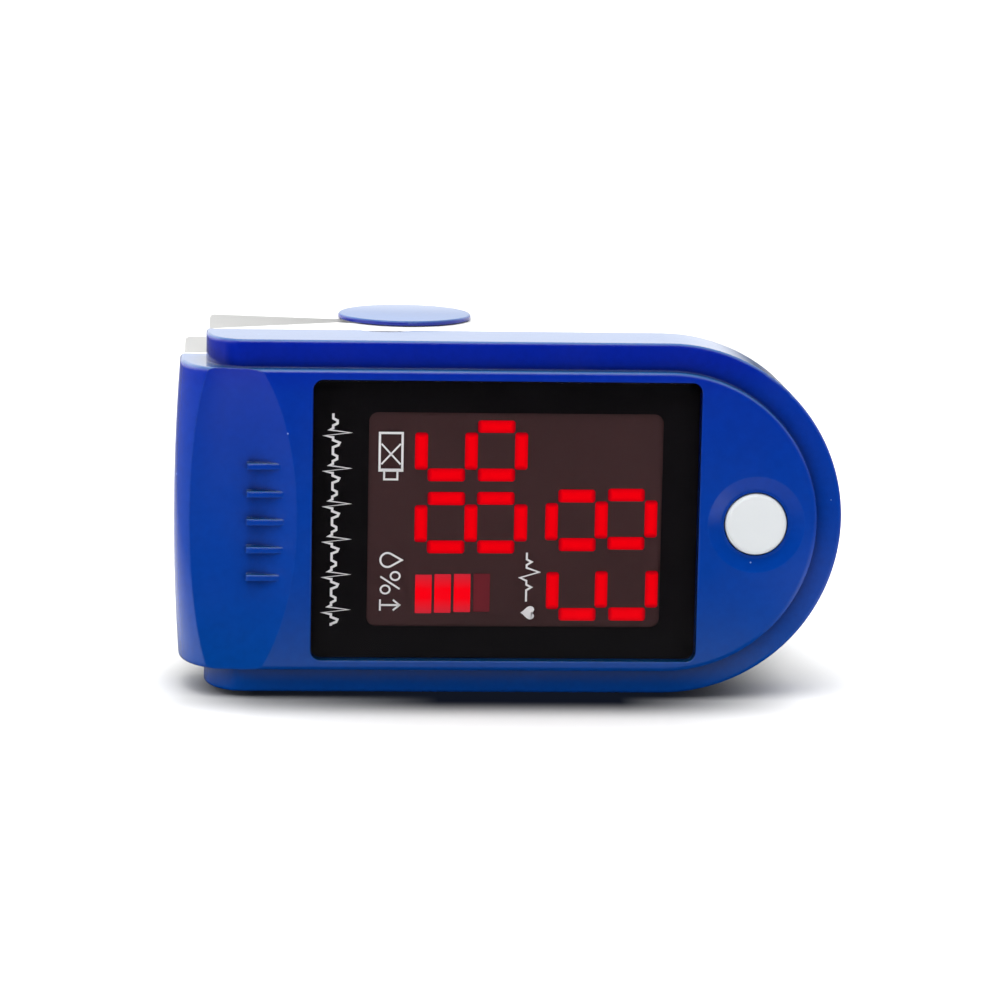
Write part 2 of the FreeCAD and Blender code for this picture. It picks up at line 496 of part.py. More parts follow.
# ---------------------------------------------------------------- finger cradle of the battery half
cr = slab(X_BODY + WALL + 0.08, SIDE_INSET + WALL + 0.06, -3.0, 9.0, 0.8)
keep = prism_z([(X_BODY, 3.06), WEDGE_L[1], (-14.2, 0.42), (-4.5, 0.42), (-3.9, Y_PART_L), (60, Y_PART_L), (60, 0.7), (-3.9, 0.7), (-4.5, 1.6), (-14.2, 1.6), (-14.75, 1.75), (X_BODY, 4.3)], 0, WIDTH)
tr_out = oval_x(CH_B + PAD_T + CRADLE_T, CH_C + PAD_T + 0.8, X_STOP - 1.2, 40)
cradle = cr.common(keep).fuse(tr_out.common(cr).cut(cut_l))
cradle = cradle.cut(oval_x(CH_B + PAD_T, CH_C + PAD_T, X_STOP, 40))
# room for the hinge ears, springs and hubs
for z0, z1 in [(-1, 6.1), (WIDTH - 6.1, WIDTH + 1)]:
    cradle = cradle.cut(box(-14.4, -3.2, -4, 9, z0, z1))
# ribbon slot, sensor seat
cradle = cradle.cut(box(-9.9, -8.1, -4, 6, 13.4, 17.6))
cradle = cradle.cut(box(EM_X - 3.05, EM_X + 3.05, 2.5, 6, ZM - 2.55, ZM + 2.55))
# room for the batteries under the sloping push end
for zc in (ZM - BAT_OFF, ZM + BAT_OFF):
    cradle = cradle.cut(cyl_x(BAT_Y, zc, BAT_R + 0.1, BAT_X0 - 0.15, 21.0))
# screw seats
for sx, sz in CRADLE_SCREWS:
    ytop = Y_PART_L if sx > 0 else 1.2
    ybot = 1.8 if sx > 0 else 2.95
    cradle = cradle.fuse(cyl_y(sx, sz, 1.9, ytop, ybot).common(cr).cut(cut_l))
cradle = cradle.removeSplitter()
for sx, sz in CRADLE_SCREWS:
    yh = 0.9 if sx > 0 else 2.05
    cradle = cradle.cut(cyl_y(sx, sz, 0.85, -3, 4)).cut(cyl_y(sx, sz, 1.45, -3, yh))
save("finger_cradle", cradle)
screws = []
for sx, sz in CRADLE_SCREWS:
    yh = 0.9 if sx > 0 else 2.05
    head = cyl_y(sx, sz, 1.3, yh - 0.7, yh)
    head = head.makeFillet(0.2, edges_at_y(head, yh - 0.7))
    s = head.fuse(cyl_y(sx, sz, 0.7, yh - 0.1, yh + 2.8)).removeSplitter()
    s = s.cut(box(sx - 0.75, sx + 0.75, yh - 1, yh - 0.4, sz - 0.15, sz + 0.15)).cut(box(sx - 0.15, sx + 0.15, yh - 1, yh - 0.4, sz - 0.75, sz + 0.75))
    screws.append(s)
save("cradle_screws", Part.makeCompound(screws))

pad_clip_l = slab(X_BODY, SIDE_INSET + 0.35, Y_PART_L, 9, 2.0)
pad = oval_x(CH_B + PAD_T, CH_C + PAD_T, X_STOP, 40).cut(oval_x(CH_B, CH_C, X_STOP + 0.9, 41)).common(pad_clip_l)
pad = pad.cut(rrect_xz(EM_X - 2.5, EM_X + 2.5, ZM - 2.0, ZM + 2.0, 0.8, 1, 5))
save("lower_finger_pad", pad)
save("sensor_window", rrect_xz(EM_X - 2.45, EM_X + 2.45, ZM - 1.95, ZM + 1.95, 0.75, 2.6, 3.05))
save("photodiode", rrect_xz(EM_X - 1.6, EM_X + 1.6, ZM - 1.4, ZM + 1.4, 0.1, 3.1, 3.5))
save("sensor_board", box(EM_X - 3.0, EM_X + 3.0, 3.5, 4.1, ZM - 2.5, ZM + 2.5))

# flat ribbon from the sensor board over the hinge to the main board
rb = box(-9.15, EM_X - 2.0, 4.12, 4.27, 14.0, 17.0).fuse(box(-9.15, -9.0, -9.9, 4.27, 14.0, 17.0)).removeSplitter()
save("sensor_ribbon", rb)

# ---------------------------------------------------------------- batteries and contacts
def battery(zc, flip):
    x0, x1 = BAT_X0, BAT_X0 + BAT_L
    body = cyl_x(BAT_Y, zc, BAT_R, 0, BAT_L - 0.9)
    body = body.makeFillet(0.5, [e for e in body.Edges if abs(e.BoundBox.XLength) < 1e-6])
    nub = cyl_x(BAT_Y, zc, 1.9, BAT_L - 1.0, BAT_L)
    nub = nub.makeFillet(0.25, [e for e in nub.Edges if abs(e.BoundBox.XMin - BAT_L) < 1e-6])
    b = body.fuse(nub).removeSplitter()
    if flip:
        b = b.mirror(V(BAT_L / 2.0, 0, 0), V(1, 0, 0))
    b.translate(V(x0, 0, 0))
    return b


ZA, ZB = ZM - BAT_OFF, ZM + BAT_OFF
save("battery_a", battery(ZA, False))
save("battery_b", battery(ZB, True))


def coil(x0, x1, y, z, r0, r1, wire, turns):
    pts = []
    n = int(turns * 24)
    for i in range(n + 1):
        t = i / float(n)
        a = 2 * math.pi * turns * t
        r = r0 + (r1 - r0) * t
        pts.append(V(x0 + (x1 - x0) * t, y + r * math.cos(a), z + r * math.sin(a)))
    bs = Part.BSplineCurve()
    bs.interpolate(pts)
    w = Part.Wire([bs.toShape()])
    tan = bs.tangent(bs.FirstParameter)[0]
    prof = Part.Wire([Part.makeCircle(wire, pts[0], tan)])
    return w.makePipeShell([prof], True, True)


spring_a = coil(-26.68, -24.45, BAT_Y, ZA, 1.55, 0.75, 0.17, 4.0)
save("battery_spring", spring_a)
pl = rrect_xz(0, 1, 0, 1, 0, 0, 1)
plate_l = box(-27.1, -26.85, 6.8, 10.1, ZA - 2.2, ZA + 2.2).fuse(box(-27.1, -24.78, 6.8, 7.0, ZA - 1.2, ZA + 1.2)).removeSplitter()
plate_l = box(-27.1, -26.85, 6.8, 10.1, ZA - 2.2, ZA + 2.2)
plate_r = box(-27.1, -26.85, 6.8, 10.1, ZB - 2.2, ZB + 2.2).fuse(cyl_x(BAT_Y, ZB, 1.2, -26.9, BAT_X0 - 0.02)).removeSplitter()
save("end_contacts", Part.makeCompound([plate_l, plate_r]))
bridge = box(20.45, 20.7, 5.0, 10.7, ZA - 3.0, ZB + 3.0)
save("bridge_contact", bridge)

# ---------------------------------------------------------------- hinge pins, caps and springs
pins = []
for s in (0, 1):
    p = cyl_z(PIV_X, PIV_Y, PIN_R, 0.55, 6.0)
    p = p.makeChamfer(0.15, [e for e in p.Edges if abs(e.BoundBox.ZMin - 6.0) < 1e-6])
    pins.append(mirror_z(p) if s else p)
save("hinge_pins", Part.makeCompound(pins))


# bottom cap: a round disc outside the case, with a thin boss that seats it on the hinge hub
cap = cyl_z(PIV_X, CAP_Y, CAP_R, -CAP_OUT, -0.04)
cap = cap.makeFillet(0.22, [e for e in cap.Edges if abs(e.BoundBox.ZMax + CAP_OUT) < 1e-6])
cap = cap.fuse(cyl_z(PIV_X, PIV_Y, 4.3, -0.06, SIDE_INSET)).removeSplitter()
save("hinge_cap_bottom", cap)
save("hinge_cap_top", mirror_z(cap))


def torsion(z0, flip):
    r, w, turns = 1.5, 0.22, 3.0
    z1 = z0 + 1.5
    pts = []
    n = int(turns * 28)
    a0 = math.radians(150)
    for i in range(n + 1):
        t = i / float(n)
        a = a0 + 2 * math.pi * turns * t
        pts.append(V(PIV_X + r * math.cos(a), PIV_Y + r * math.sin(a), z0 + (z1 - z0) * t))
    bs = Part.BSplineCurve()
    bs.interpolate(pts)
    wire = Part.Wire([bs.toShape()])
    tan = bs.tangent(bs.FirstParameter)[0]
    s = wire.makePipeShell([Part.Wire([Part.makeCircle(w, pts[0], tan)])], True, True)
    # legs reach toward the push end, one to each half
    p0, p1 = pts[0], pts[-1]
    d0 = V(-0.93, -0.37, 0)
    d1 = V(-0.95, 0.05, 0)
    l0 = Part.makeCylinder(w, 4.2, p0 - d0 * 0.05, d0)
    l1 = Part.makeCylinder(w, 3.4, p1 - d1 * 0.05, d1)
    s = s.fuse(l0).fuse(l1)
    return mirror_z(s) if flip else s


save("jaw_spring_bottom", torsion(3.75, False))
save("jaw_spring_top", torsion(3.75, True))
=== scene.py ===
import json
import math

import bmesh
import bpy
from mathutils import Matrix, Vector


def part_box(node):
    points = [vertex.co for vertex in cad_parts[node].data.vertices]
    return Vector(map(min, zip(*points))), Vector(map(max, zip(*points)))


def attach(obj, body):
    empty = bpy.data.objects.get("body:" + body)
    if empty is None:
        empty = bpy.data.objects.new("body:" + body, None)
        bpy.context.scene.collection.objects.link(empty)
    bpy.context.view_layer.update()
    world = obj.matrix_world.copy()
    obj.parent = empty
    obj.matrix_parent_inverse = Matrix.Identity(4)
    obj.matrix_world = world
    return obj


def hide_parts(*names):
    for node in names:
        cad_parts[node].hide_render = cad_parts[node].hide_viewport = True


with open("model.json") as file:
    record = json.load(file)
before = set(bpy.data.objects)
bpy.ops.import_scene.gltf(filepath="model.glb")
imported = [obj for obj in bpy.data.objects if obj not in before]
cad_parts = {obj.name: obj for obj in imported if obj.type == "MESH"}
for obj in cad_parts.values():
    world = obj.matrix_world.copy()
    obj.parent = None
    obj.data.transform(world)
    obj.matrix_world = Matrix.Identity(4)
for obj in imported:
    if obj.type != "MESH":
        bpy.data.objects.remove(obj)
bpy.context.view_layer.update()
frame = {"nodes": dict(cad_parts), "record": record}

MM = 0.001
scene = bpy.context.scene
scene.view_settings.view_transform = "Standard"

# ------------------------------------------------------------------ node helpers


class Tree:
    def __init__(self, name):
        self.mat = bpy.data.materials.new(name)
        self.mat.use_nodes = True
        self.nt = self.mat.node_tree
        self.nt.nodes.clear()
        self.out = self.n("ShaderNodeOutputMaterial")
        self.tc = self.n("ShaderNodeTexCoord")

    def n(self, kind, **props):
        node = self.nt.nodes.new(kind)
        for k, v in props.items():
            setattr(node, k, v)
        return node

    def link(self, a, b):
        self.nt.links.new(a, b)

    def set(self, node, **vals):
        for k, v in vals.items():
            node.inputs[k.replace("_", " ")].default_value = v

    def noise(self, scale, detail=3.0, rough=0.5, coord=None):
        t = self.n("ShaderNodeTexNoise")
        self.set(t, Scale=scale, Detail=detail, Roughness=rough)
        self.link(coord or self.tc.outputs["Object"], t.inputs["Vector"])
        return t.outputs["Fac"]

    def ramp(self, fac, lo, hi, a=0.0, b=1.0):
        m = self.n("ShaderNodeMapRange")
        self.set(m, **{"From_Min": lo, "From_Max": hi, "To_Min": a, "To_Max": b})
        self.link(fac, m.inputs["Value"])
        return m.outputs["Result"]

    def math(self, op, a, b=None, clamp=False):
        m = self.n("ShaderNodeMath", operation=op, use_clamp=clamp)
        for i, v in enumerate((a, b)):
            if v is None:
                continue
            if isinstance(v, (int, float)):
                m.inputs[i].default_value = v
            else:
                self.link(v, m.inputs[i])
        return m.outputs[0]

    def mix(self, fac, a, b, blend="MIX"):
        m = self.n("ShaderNodeMix", data_type="RGBA", blend_type=blend)
        for idx, v in ((0, fac), (6, a), (7, b)):
            if isinstance(v, (int, float)):
                m.inputs[idx].default_value = v
            elif isinstance(v, (tuple, list)):
                m.inputs[idx].default_value = (*v[:3], 1.0)
            else:
                self.link(v, m.inputs[idx])
        return m.outputs[2]

    def bump(self, height, strength, distance, normal=None):
        b = self.n("ShaderNodeBump")
        self.set(b, Strength=strength, Distance=distance)
        self.link(height, b.inputs["Height"])
        if normal is not None:
            self.link(normal, b.inputs["Normal"])
        return b.outputs["Normal"]

    def principled(self, **vals):
        p = self.n("ShaderNodeBsdfPrincipled")
        for k, v in vals.items():
            p.inputs[k.replace("_", " ")].default_value = v
        self.link(p.outputs[0], self.out.inputs["Surface"])
        return p


def scale3(c, k):
    return tuple(max(0.0, min(1.0, x * k)) for x in c[:3])


def plastic(name, base, rough=0.33, rough_var=0.06, grain=2600.0, grain_amp=0.05, spec=0.5, coat=0.0,
            vary=0.06, specks=0.0, speck_col=(0.3, 0.5, 0.9), edge=0.0, edge_col=None, bevel=0.0, sss=0.0):
    t = Tree(name)
    p = t.principled(Base_Color=(*base, 1), Roughness=rough, IOR=1.5)
    p.inputs["Specular IOR Level"].default_value = spec
    p.inputs["Coat Weight"].default_value = coat
    p.inputs["Coat Roughness"].default_value = 0.12
    if sss:
        p.inputs["Subsurface Weight"].default_value = sss
        p.inputs["Subsurface Radius"].default_value = (0.8, 0.8, 0.9)
        p.inputs["Subsurface Scale"].default_value = 0.0008
    # soft mottling of the moulded colour
    broad = t.ramp(t.noise(70.0, 2.0), 0.3, 0.7)
    fine = t.ramp(t.noise(900.0, 3.0), 0.25, 0.75)
    col = t.mix(broad, scale3(base, 1.0 - vary), scale3(base, 1.0 + vary))
    col = t.mix(t.math("MULTIPLY", fine, 0.35), col, scale3(base, 1.0 + 1.6 * vary))
    if edge:
        geo = t.n("ShaderNodeNewGeometry")
        e = t.ramp(geo.outputs["Pointiness"], 0.505, 0.56)
        e = t.math("MULTIPLY", e, edge, True)
        e = t.math("MULTIPLY", e, t.ramp(t.noise(420.0, 4.0), 0.3, 0.7, 0.5, 1.0))
        col = t.mix(e, col, edge_col or scale3(base, 1.8))
    if specks:
        v = t.n("ShaderNodeTexVoronoi")
        t.set(v, Scale=330.0, Randomness=1.0)
        t.link(t.tc.outputs["Object"], v.inputs["Vector"])
        dot = t.math("LESS_THAN", v.outputs["Distance"], 0.035)
        sep = t.n("ShaderNodeSeparateColor")
        t.link(v.outputs["Color"], sep.inputs[0])
        keep = t.math("GREATER_THAN", sep.outputs[0], 0.86)
        col = t.mix(t.math("MULTIPLY", t.math("MULTIPLY", dot, keep), specks), col, speck_col)
    t.link(col, p.inputs["Base Color"])
    r = t.ramp(t.noise(260.0, 3.0), 0.3, 0.7, rough - rough_var, rough + rough_var)
    t.link(r, p.inputs["Roughness"])
    # spark-eroded mould grain, rounded by a soft edge normal
    soft = None
    if bevel:
        bev = t.n("ShaderNodeBevel", samples=2)
        t.set(bev, Radius=bevel)
        soft = bev.outputs["Normal"]
    h = t.noise(grain, 3.0, 0.6)
    nrm = t.bump(h, grain_amp, 0.00004, soft)
    t.link(nrm, p.inputs["Normal"])
    return t.mat


def blue_shell(name, dome=None):
    """Satin blue ABS, with painted light in its colour: a brighter blue at the bottom edge painted for floor bounce,
    cleaner blue lower down, violet blue near the upper rim, a lighter greener painted tint on up-facing faces, and
    painted shade deeper in the grooves.
    """
    t = Tree(name)
    p = t.principled(Roughness=0.30, IOR=1.5)
    p.inputs["Specular IOR Level"].default_value = 0.5
    sep = t.n("ShaderNodeSeparateXYZ")
    t.link(t.tc.outputs["Object"], sep.inputs[0])
    # painted light by height: the bottom edge is brightened as painted floor bounce; above it the hue runs from
    # cleaner blue to violet blue at the upper rim
    cr = t.n("ShaderNodeValToRGB")
    t.link(t.ramp(sep.outputs["Z"], 0.0, 0.032), cr.inputs["Fac"])
    stops = [(0.02, (0.0006, 0.056, 0.315)), (0.085, (0.0006, 0.048, 0.268)), (0.30, (0.0006, 0.040, 0.285)), (0.60, (0.0006, 0.034, 0.290)),
             (0.84, (0.0006, 0.026, 0.300)), (0.93, (0.0006, 0.014, 0.290)), (1.0, (0.0006, 0.010, 0.280))]
    el = cr.color_ramp.elements
    el[0].position, el[0].color = stops[0][0], (*stops[0][1], 1)
    el[1].position, el[1].color = stops[-1][0], (*stops[-1][1], 1)
    for pos, c in stops[1:-1]:
        e = el.new(pos)
        e.color = (*c, 1)
    # painted light: up-facing faces take a lighter, greener blue for the light falling on them from above
    geo = t.n("ShaderNodeNewGeometry")
    up = t.n("ShaderNodeSeparateXYZ")
    t.link(geo.outputs["Normal"], up.inputs[0])
    base = t.mix(t.ramp(up.outputs["Z"], 0.35, 0.85), cr.outputs["Color"], (0.0006, 0.075, 0.262))
    # flow marks and fine mottling of the moulding
    broad = t.ramp(t.noise(55.0, 2.0), 0.3, 0.7, 0.95, 1.05)
    fine = t.ramp(t.noise(1500.0, 3.0), 0.25, 0.75, 0.93, 1.07)
    k = t.math("MULTIPLY", broad, fine)
    comb = t.n("ShaderNodeCombineColor")
    for q in range(3):
        t.link(k, comb.inputs[q])
    col = t.mix(1.0, base, comb.outputs[0], "MULTIPLY")
    # painted shade: darker in the steps and grooves, from ambient occlusion
    ao = t.n("ShaderNodeAmbientOcclusion", samples=3, only_local=True)
    t.set(ao, Distance=0.0022)
    shade = t.ramp(ao.outputs["AO"], 0.45, 0.98, 0.38, 1.0)
    comb2 = t.n("ShaderNodeCombineColor")
    for q in range(3):
        t.link(shade, comb2.inputs[q])
    col = t.mix(1.0, col, comb2.outputs[0], "MULTIPLY")
    # lighter rounded edges: partly handling wear, partly a painted highlight along the edges
    bev = t.n("ShaderNodeBevel", samples=2)
    t.set(bev, Radius=0.0002)
    dot = t.n("ShaderNodeVectorMath", operation="DOT_PRODUCT")
    t.link(bev.outputs["Normal"], dot.inputs[0])
    t.link(geo.outputs["Normal"], dot.inputs[1])
    edge = t.math("MULTIPLY", t.ramp(dot.outputs["Value"], 0.985, 0.90), t.ramp(t.noise(380.0, 4.0), 0.35, 0.7, 0.10, 0.30), True)
    col = t.mix(edge, col, (0.02, 0.14, 0.60))
    # lint and dust
    v = t.n("ShaderNodeTexVoronoi")
    t.set(v, Scale=420.0, Randomness=1.0)
    t.link(t.tc.outputs["Object"], v.inputs["Vector"])
    sc = t.n("ShaderNodeSeparateColor")
    t.link(v.outputs["Color"], sc.inputs[0])
    rad = t.ramp(sc.outputs[1], 0.0, 1.0, 0.018, 0.045)
    dotm = t.math("LESS_THAN", v.outputs["Distance"], rad)
    keep = t.math("GREATER_THAN", sc.outputs[0], 0.80)
    dust = t.math("MULTIPLY", t.math("MULTIPLY", dotm, keep), 0.55)
    col = t.mix(dust, col, (0.30, 0.45, 0.80))
    t.link(col, p.inputs["Base Color"])
    r = t.ramp(t.noise(300.0, 3.0), 0.3, 0.7, 0.08, 0.12)
    r = t.math("ADD", r, t.math("MULTIPLY", dust, 0.5))
    t.link(r, p.inputs["Roughness"])
    nrm = t.bump(t.noise(2400.0, 3.0, 0.6), 0.06, 0.00004, bev.outputs["Normal"])
    if dome:
        # very shallow crown moulded into the round cap
        sub = t.n("ShaderNodeVectorMath", operation="SUBTRACT")
        t.link(t.tc.outputs["Object"], sub.inputs[0])
        sub.inputs[1].default_value = (dome[0], dome[1], 0.0)
        mul = t.n("ShaderNodeVectorMath", operation="MULTIPLY")
        t.link(sub.outputs[0], mul.inputs[0])
        mul.inputs[1].default_value = (dome[2], dome[2], 0.0)
        add = t.n("ShaderNodeVectorMath", operation="ADD")
        t.link(nrm, add.inputs[0])
        t.link(mul.outputs[0], add.inputs[1])
        nn = t.n("ShaderNodeVectorMath", operation="NORMALIZE")
        t.link(add.outputs[0], nn.inputs[0])
        nrm = nn.outputs[0]
    t.link(nrm, p.inputs["Normal"])
    return t.mat


def metal(name, base, rough=0.28, streak=True):
    t = Tree(name)
    p = t.principled(Base_Color=(*base, 1), Roughness=rough, Metallic=1.0)
    mp = t.n("ShaderNodeMapping")
    t.set(mp, Scale=(1.0, 12.0, 12.0) if streak else (1.0, 1.0, 1.0))
    t.link(t.tc.outputs["Object"], mp.inputs["Vector"])
    f = t.noise(900.0, 4.0, 0.6, mp.outputs[0])
    t.link(t.mix(t.ramp(f, 0.3, 0.7), scale3(base, 0.82), scale3(base, 1.12)), p.inputs["Base Color"])
    t.link(t.ramp(f, 0.3, 0.7, rough - 0.08, rough + 0.1), p.inputs["Roughness"])
    t.link(t.bump(f, 0.12, 0.00002), p.inputs["Normal"])
    return t.mat


def silicone(name, base):
    t = Tree(name)
    p = t.principled(Base_Color=(*base, 1), Roughness=0.55)
    p.inputs["Specular IOR Level"].default_value = 0.35
    p.inputs["Subsurface Weight"].default_value = 0.15
    p.inputs["Subsurface Radius"].default_value = (1.0, 0.9, 0.8)
    p.inputs["Subsurface Scale"].default_value = 0.0006
    f = t.noise(160.0, 3.0)
    t.link(t.mix(t.ramp(f, 0.3, 0.7), scale3(base, 0.9), scale3(base, 1.08)), p.inputs["Base Color"])
    t.link(t.ramp(t.noise(500.0), 0.3, 0.7, 0.47, 0.64), p.inputs["Roughness"])
    # fine moulded ribs across the channel, then a powdery grain
    w = t.n("ShaderNodeTexWave", wave_type="BANDS", bands_direction="X")
    t.set(w, Scale=130.0, Distortion=0.0)
    t.link(t.tc.outputs["Object"], w.inputs["Vector"])
    n1 = t.bump(w.outputs["Fac"], 0.35, 0.00012)
    t.link(t.bump(t.noise(3500.0), 0.12, 0.00003, n1), p.inputs["Normal"])
    return t.mat


def board(name):
    t = Tree(name)
    base = (0.012, 0.10, 0.035)
    p = t.principled(Base_Color=(*base, 1), Roughness=0.35)
    br = t.n("ShaderNodeTexBrick")
    t.set(br, Scale=420.0, Mortar_Size=0.03)
    mp = t.n("ShaderNodeMapping")
    mp.inputs["Rotation"].default_value = (math.radians(90), 0, 0)
    t.link(t.tc.outputs["Object"], mp.inputs["Vector"])
    t.link(mp.outputs[0], br.inputs["Vector"])
    trace = br.outputs["Fac"]
    col = t.mix(trace, base, (0.03, 0.22, 0.08))
    col = t.mix(t.ramp(t.noise(140.0), 0.35, 0.7), col, (0.02, 0.14, 0.05))
    t.link(col, p.inputs["Base Color"])
    t.link(t.bump(trace, 0.3, 0.00003), p.inputs["Normal"])
    t.link(t.ramp(t.noise(600.0), 0.3, 0.7, 0.28, 0.42), p.inputs["Roughness"])
    return t.mat


def lens(name):
    t = Tree(name)
    clear = t.n("ShaderNodeBsdfTransparent")
    clear.inputs[0].default_value = (0.97, 0.96, 0.96, 1)
    gl = t.n("ShaderNodeBsdfGlossy")
    gl.inputs["Roughness"].default_value = 0.04
    smear = t.noise(90.0, 4.0, 0.6)
    t.link(t.ramp(smear, 0.35, 0.75, 0.03, 0.12), gl.inputs["Roughness"])
    t.link(t.bump(t.noise(35.0, 2.0), 0.02, 0.0002), gl.inputs["Normal"])
    fr = t.n("ShaderNodeFresnel")
    fr.inputs["IOR"].default_value = 1.45
    mx = t.n("ShaderNodeMixShader")
    t.link(t.math("MULTIPLY", fr.outputs[0], 0.25), mx.inputs[0])
    t.link(clear.outputs[0], mx.inputs[1])
    t.link(gl.outputs[0], mx.inputs[2])
    t.link(mx.outputs[0], t.out.inputs["Surface"])
    return t.mat


def epoxy(name, base):
    t = Tree(name)
    p = t.principled(Base_Color=(*base, 1), Roughness=0.12)
    p.inputs["Coat Weight"].default_value = 0.6
    f = t.noise(350.0, 3.0)
    t.link(t.mix(t.ramp(f, 0.3, 0.7), scale3(base, 0.85), scale3(base, 1.1)), p.inputs["Base Color"])
    t.link(t.ramp(t.noise(900.0), 0.3, 0.7, 0.08, 0.2), p.inputs["Roughness"])
    t.link(t.bump(t.noise(700.0), 0.05, 0.00003), p.inputs["Normal"])
    return t.mat


def battery(name):
    t = Tree(name)
    p = t.principled(Base_Color=(0.05, 0.05, 0.06, 1), Roughness=0.3)
    sep = t.n("ShaderNodeSeparateXYZ")
    t.link(t.tc.outputs["Object"], sep.inputs[0])
    band = t.ramp(sep.outputs["X"], 0.0079, 0.0081)
    col = t.mix(band, (0.03, 0.035, 0.05), (0.62, 0.36, 0.14))
    ends = t.math("ADD", t.math("LESS_THAN", sep.outputs["X"], -0.0238), t.math("GREATER_THAN", sep.outputs["X"], 0.0199), True)
    col = t.mix(ends, col, (0.6, 0.6, 0.6))
    col = t.mix(t.math("MULTIPLY", t.ramp(t.noise(500.0, 4.0), 0.55, 0.8), 0.25), col, (0.2, 0.2, 0.2))
    t.link(col, p.inputs["Base Color"])
    t.link(t.math("ADD", t.math("MULTIPLY", band, 0.4), t.math("MULTIPLY", ends, 0.6), True), p.inputs["Metallic"])
    t.link(t.ramp(t.noise(300.0), 0.3, 0.7, 0.22, 0.4), p.inputs["Roughness"])
    t.link(t.bump(t.noise(1500.0), 0.05, 0.00002), p.inputs["Normal"])
    return t.mat


def led_face(name):
    t = Tree(name)
    base = (0.0555, 0.0245, 0.0260)
    p = t.principled(Base_Color=(*base, 1), Roughness=0.55)
    p.inputs["Specular IOR Level"].default_value = 0.15
    f = t.noise(120.0, 3.0)
    t.link(t.mix(t.ramp(f, 0.3, 0.7), scale3(base, 0.94), scale3(base, 1.05)), p.inputs["Base Color"])
    t.link(t.ramp(t.noise(800.0), 0.3, 0.7, 0.5, 0.62), p.inputs["Roughness"])
    t.link(t.bump(t.noise(2500.0), 0.06, 0.00003), p.inputs["Normal"])
    return t.mat


def lit(name, col, dark, strength, mid=None, half=(0.0, 1.0)):
    """Glowing LED segment: brighter in its middle, read from a colour layer on the mesh."""
    t = Tree(name)
    p = t.principled(Base_Color=(*scale3(col, 0.25), 1), Roughness=0.4)
    p.inputs["Specular IOR Level"].default_value = 0.0
    at = t.n("ShaderNodeAttribute", attribute_name="glow")
    fac = at.outputs["Fac"]
    if mid is not None:
        sep = t.n("ShaderNodeSeparateXYZ")
        t.link(t.tc.outputs["Object"], sep.inputs[0])
        off = t.math("ABSOLUTE", t.math("SUBTRACT", sep.outputs["Z"], mid))
        fac = t.ramp(off, half[1], half[0])
    g = t.mix(fac, dark, col)
    g = t.mix(t.math("MULTIPLY", t.ramp(t.noise(900.0, 2.0), 0.3, 0.7), 0.08), g, dark)
    t.link(g, p.inputs["Emission Color"])
    p.inputs["Emission Strength"].default_value = strength
    t.link(t.ramp(t.noise(700.0), 0.3, 0.7, 0.35, 0.5), p.inputs["Roughness"])
    return t.mat


mats = {
    "blue_plastic": blue_shell("blue_abs"),
    "white_plastic": plastic("white_abs", (0.69, 0.69, 0.68), rough=0.42, spec=0.5, vary=0.02, grain_amp=0.12,
                             edge=0.0),
    "white_button": plastic("white_cap", (0.66, 0.685, 0.70), rough=0.36, spec=0.45, vary=0.015, grain_amp=0.06, bevel=0.0002),
    "window_lens": lens("acrylic_window"),
    "black_print": plastic("black_print", (0.0058, 0.0048, 0.0062), rough=0.5, spec=0.08, vary=0.10, grain_amp=0.03),
    "display_face": led_face("led_module_face"),
    "led_red": lit("led_lit", (0.80, 0.0, 0.004), (0.20, 0.0005, 0.006), 1.0),
    "led_bar": lit("led_bar_lit", (0.86, 0.0, 0.006), (0.40, 0.025, 0.043), 1.0, 0.00918, (0.0004, 0.0019)),
    "led_dim": lit("led_faint", (0.13, 0.016, 0.022), (0.10, 0.014, 0.02), 1.0),
    "circuit_board": board("solder_resist"),
    "black_plastic": plastic("chip_package", (0.018, 0.018, 0.02), rough=0.6, vary=0.1, grain_amp=0.3),
    "switch_metal": metal("stamped_cover", (0.62, 0.62, 0.61), 0.3),
    "steel": metal("zinc_steel", (0.56, 0.57, 0.58), 0.28),
    "ceramic_parts": plastic("chip_ceramic", (0.30, 0.22, 0.14), rough=0.5, vary=0.12, grain_amp=0.2),
    "silicone": silicone("grey_silicone", (0.42, 0.43, 0.45)),
    "clear_lens": epoxy("clear_epoxy", (0.55, 0.57, 0.6)),
    "led_die": epoxy("emitter_body", (0.65, 0.45, 0.3)),
    "photo_die": epoxy("photo_body", (0.03, 0.03, 0.07)),
    "ribbon_film": epoxy("amber_film", (0.42, 0.17, 0.02)),
    "battery_can": battery("cell_jacket"),
    "contact_metal": metal("nickel_spring", (0.68, 0.66, 0.6), 0.2),
}

cap_mat = blue_shell("blue_cap", (-0.00865, 0.0060, 11.0))
slot_of = {s["node"]: s["material_slot"] for s in frame["record"]["subparts"]}
for node, obj in frame["nodes"].items():
    m = mats[slot_of[node]]
    if len(obj.material_slots) == 0:
        obj.data.materials.append(m)
    if node.startswith("hinge_cap"):
        m = cap_mat
    for s in obj.material_slots:
        s.material = m

# ------------------------------------------------------------------ mesh helpers


def mesh_object(name, bm, mat, body, smooth=False):
    me = bpy.data.meshes.new(name)
    bm.normal_update()
    bm.to_mesh(me)
    bm.free()
    ob = bpy.data.objects.new(name, me)
    scene.collection.objects.link(ob)
    me.materials.append(mat)
    for poly in me.polygons:
        poly.use_smooth = smooth
    if body:
        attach(ob, body)
    return ob


